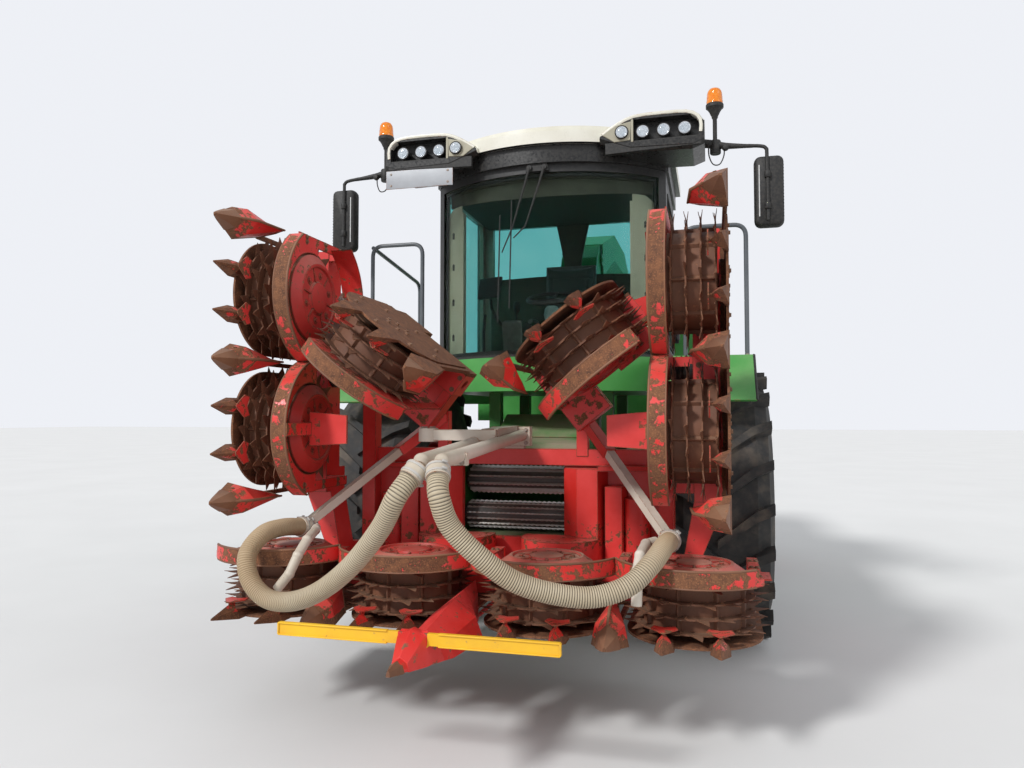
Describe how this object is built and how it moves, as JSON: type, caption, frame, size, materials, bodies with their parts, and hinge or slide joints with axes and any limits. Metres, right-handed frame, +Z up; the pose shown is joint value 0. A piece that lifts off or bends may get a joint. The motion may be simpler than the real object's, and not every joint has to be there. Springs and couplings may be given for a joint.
{
  "type": "self-propelled forage harvester with folding rotary maize header",
  "caption": "Forage harvester with a white-roofed cab, green body, big front tyres, rear discharge spout and a red rotary maize header folded up in front.",
  "frame": {"origin": "on the ground below the middle of the outline", "axes": "+X to the driver's left, +Y to the rear, +Z up; the machine faces -Y"},
  "size_m": [3.44, 7.27, 3.9],
  "materials": {
    "green_paint": "gloss",
    "red_paint": "faded gloss with rust at the edges",
    "roof_paint": "satin",
    "cream_paint": "satin",
    "dark_steel": "satin",
    "rusty_steel": "rusty",
    "bright_steel": "worn",
    "black_plastic": "matt",
    "clear_glass": "clear",
    "lamp_lens": "clear lens",
    "amber_lens": "translucent",
    "tyre_rubber": "dusty",
    "hose_rubber": "corrugated"
  },
  "bodies": {
    "machine": {"chassis": "green_paint", "front_axle": "dark_steel", "rear_axle": "dark_steel", "engine": "dark_steel", "crop_duct": "green_paint", "cab_shell": "green_paint", "cab_glass": "clear_glass", "cab_roof": "roof_paint", "cab_interior": "black_plastic", "lamps": "lamp_lens", "beacons": "amber_lens", "mirrors": "black_plastic", "wipers": "black_plastic", "hood": "green_paint", "grilles": "black_plastic", "fenders": "green_paint", "platform": "dark_steel", "rear_bumper": "dark_steel"},
    "door": {"door_left": "green_paint", "door_glass": "clear_glass"},
    "panel_left": {"side_panel_left": "green_paint"},
    "panel_right": {"side_panel_right": "green_paint"},
    "spout": {"spout_turret": "green_paint"},
    "boom": {"spout_boom": "green_paint"},
    "flap": {"spout_flap": "green_paint"},
    "front_wheel_left": {"front_tyre_left": "tyre_rubber", "front_rim_left": "red_paint"},
    "front_wheel_right": {"front_tyre_right": "tyre_rubber", "front_rim_right": "red_paint"},
    "steer_left": {"knuckle_left": "dark_steel"},
    "steer_right": {"knuckle_right": "dark_steel"},
    "rear_wheel_left": {"rear_tyre_left": "tyre_rubber", "rear_rim_left": "red_paint"},
    "rear_wheel_right": {"rear_tyre_right": "tyre_rubber", "rear_rim_right": "red_paint"},
    "header": {"feeder": "green_paint", "header_frame": "red_paint", "middle_divider": "red_paint", "push_frame": "cream_paint", "hose_left": "hose_rubber", "hose_right": "hose_rubber"},
    "roll_upper": {"feed_roll_upper": "bright_steel"},
    "roll_lower": {"feed_roll_lower": "bright_steel"},
    "wing_left": {"wing_left": "red_paint", "wing_dividers_left": "red_paint"},
    "wing_right": {"wing_right": "red_paint", "wing_dividers_right": "red_paint"},
    "outer_left": {"outer_left": "red_paint"},
    "outer_right": {"outer_right": "red_paint"},
    "rotor_1": {"rotor_1": "rusty_steel"},
    "rotor_2": {"rotor_2": "rusty_steel"},
    "rotor_3": {"rotor_3": "rusty_steel"},
    "rotor_4": {"rotor_4": "rusty_steel"},
    "rotor_5": {"rotor_5": "rusty_steel"},
    "rotor_6": {"rotor_6": "rusty_steel"},
    "rotor_7": {"rotor_7": "rusty_steel"},
    "rotor_8": {"rotor_8": "rusty_steel"},
    "rotor_9": {"rotor_9": "rusty_steel"},
    "rotor_10": {"rotor_10": "rusty_steel"}
  },
  "joints": [
    {"name": "front_left_spin", "type": "hinge", "parent": "machine", "child": "front_wheel_left", "pos_m": [1.265, -0.4, 0.965], "axis": [1, 0, 0], "continuous": true},
    {"name": "front_right_spin", "type": "hinge", "parent": "machine", "child": "front_wheel_right", "pos_m": [-1.265, -0.4, 0.965], "axis": [1, 0, 0], "continuous": true},
    {"name": "steer_left", "type": "hinge", "parent": "machine", "child": "steer_left", "pos_m": [0.83, 2.4, 0.73], "axis": [0, 0, 1], "range_deg": [-30, 30]},
    {"name": "steer_right", "type": "hinge", "parent": "machine", "child": "steer_right", "pos_m": [-0.83, 2.4, 0.73], "axis": [0, 0, 1], "range_deg": [-30, 30]},
    {"name": "rear_left_spin", "type": "hinge", "parent": "steer_left", "child": "rear_wheel_left", "pos_m": [1.17, 2.4, 0.73], "axis": [1, 0, 0], "continuous": true},
    {"name": "rear_right_spin", "type": "hinge", "parent": "steer_right", "child": "rear_wheel_right", "pos_m": [-1.17, 2.4, 0.73], "axis": [1, 0, 0], "continuous": true},
    {"name": "door_swing", "type": "hinge", "parent": "machine", "child": "door", "pos_m": [0.93, 0.41, 2.5], "axis": [0, 0, 1], "range_deg": [0, 90]},
    {"name": "panel_left_lift", "type": "hinge", "parent": "machine", "child": "panel_left", "pos_m": [1.15, 2, 2.342], "axis": [0, -1, 0], "range_deg": [0, 80]},
    {"name": "panel_right_lift", "type": "hinge", "parent": "machine", "child": "panel_right", "pos_m": [-1.15, 2, 2.342], "axis": [0, 1, 0], "range_deg": [0, 80]},
    {"name": "spout_slew", "type": "hinge", "parent": "machine", "child": "spout", "pos_m": [0, 0.86, 2.64], "axis": [0, 0, 1], "range_deg": [-90, 90]},
    {"name": "boom_lift", "type": "hinge", "parent": "spout", "child": "boom", "pos_m": [0, 1.05, 3.14], "axis": [1, 0, 0], "range_deg": [0, 30]},
    {"name": "flap_tilt", "type": "hinge", "parent": "boom", "child": "flap", "pos_m": [0, 3.392, 3.452], "axis": [1, 0, 0], "range_deg": [-30, 40]},
    {"name": "header_lift", "type": "hinge", "parent": "machine", "child": "header", "pos_m": [0, -0.84, 1.15], "axis": [-1, 0, 0], "range_deg": [-12, 4]},
    {"name": "roll_upper_spin", "type": "hinge", "parent": "header", "child": "roll_upper", "pos_m": [0, -1.49, 1.19], "axis": [1, 0, 0], "continuous": true},
    {"name": "roll_lower_spin", "type": "hinge", "parent": "header", "child": "roll_lower", "pos_m": [0, -1.53, 0.962], "axis": [1, 0, 0], "continuous": true},
    {"name": "wing_left_fold", "type": "hinge", "parent": "header", "child": "wing_left", "pos_m": [1.09, -1.9, 0.75], "axis": [0, 1, 0], "range_deg": [0, 90]},
    {"name": "wing_right_fold", "type": "hinge", "parent": "header", "child": "wing_right", "pos_m": [-1.09, -1.9, 0.75], "axis": [0, -1, 0], "range_deg": [0, 90]},
    {"name": "outer_left_fold", "type": "hinge", "parent": "wing_left", "child": "outer_left", "pos_m": [1.118, -1.77, 2.367], "axis": [0, 1, 0], "range_deg": [0, 128]},
    {"name": "outer_right_fold", "type": "hinge", "parent": "wing_right", "child": "outer_right", "pos_m": [-1.118, -1.77, 2.367], "axis": [0, -1, 0], "range_deg": [0, 128]},
    {"name": "rotor_1_spin", "type": "hinge", "parent": "outer_right", "child": "rotor_1", "pos_m": [-0.56144, -2.45, 1.99435], "axis": [-0.6157, 0, -0.788], "continuous": true},
    {"name": "rotor_2_spin", "type": "hinge", "parent": "wing_right", "child": "rotor_2", "pos_m": [-1.167, -2.45, 2.285], "axis": [1, 0, 0], "continuous": true},
    {"name": "rotor_3_spin", "type": "hinge", "parent": "wing_right", "child": "rotor_3", "pos_m": [-1.167, -2.45, 1.535], "axis": [1, 0, 0], "continuous": true},
    {"name": "rotor_4_spin", "type": "hinge", "parent": "header", "child": "rotor_4", "pos_m": [-1.125, -2.45, 0.673], "axis": [0, 0, 1], "continuous": true},
    {"name": "rotor_5_spin", "type": "hinge", "parent": "header", "child": "rotor_5", "pos_m": [-0.375, -2.45, 0.673], "axis": [0, 0, 1], "continuous": true},
    {"name": "rotor_6_spin", "type": "hinge", "parent": "header", "child": "rotor_6", "pos_m": [0.375, -2.45, 0.673], "axis": [0, 0, 1], "continuous": true},
    {"name": "rotor_7_spin", "type": "hinge", "parent": "header", "child": "rotor_7", "pos_m": [1.125, -2.45, 0.673], "axis": [0, 0, 1], "continuous": true},
    {"name": "rotor_8_spin", "type": "hinge", "parent": "wing_left", "child": "rotor_8", "pos_m": [1.167, -2.45, 1.535], "axis": [-1, 0, 0], "continuous": true},
    {"name": "rotor_9_spin", "type": "hinge", "parent": "wing_left", "child": "rotor_9", "pos_m": [1.167, -2.45, 2.285], "axis": [-1, 0, 0], "continuous": true},
    {"name": "rotor_10_spin", "type": "hinge", "parent": "outer_left", "child": "rotor_10", "pos_m": [0.56144, -2.45, 1.99435], "axis": [0.6157, 0, -0.788], "continuous": true}
  ],
  "couplings": [
    {"joint": "steer_right", "follows": "steer_left", "ratio": 1}
  ]
}
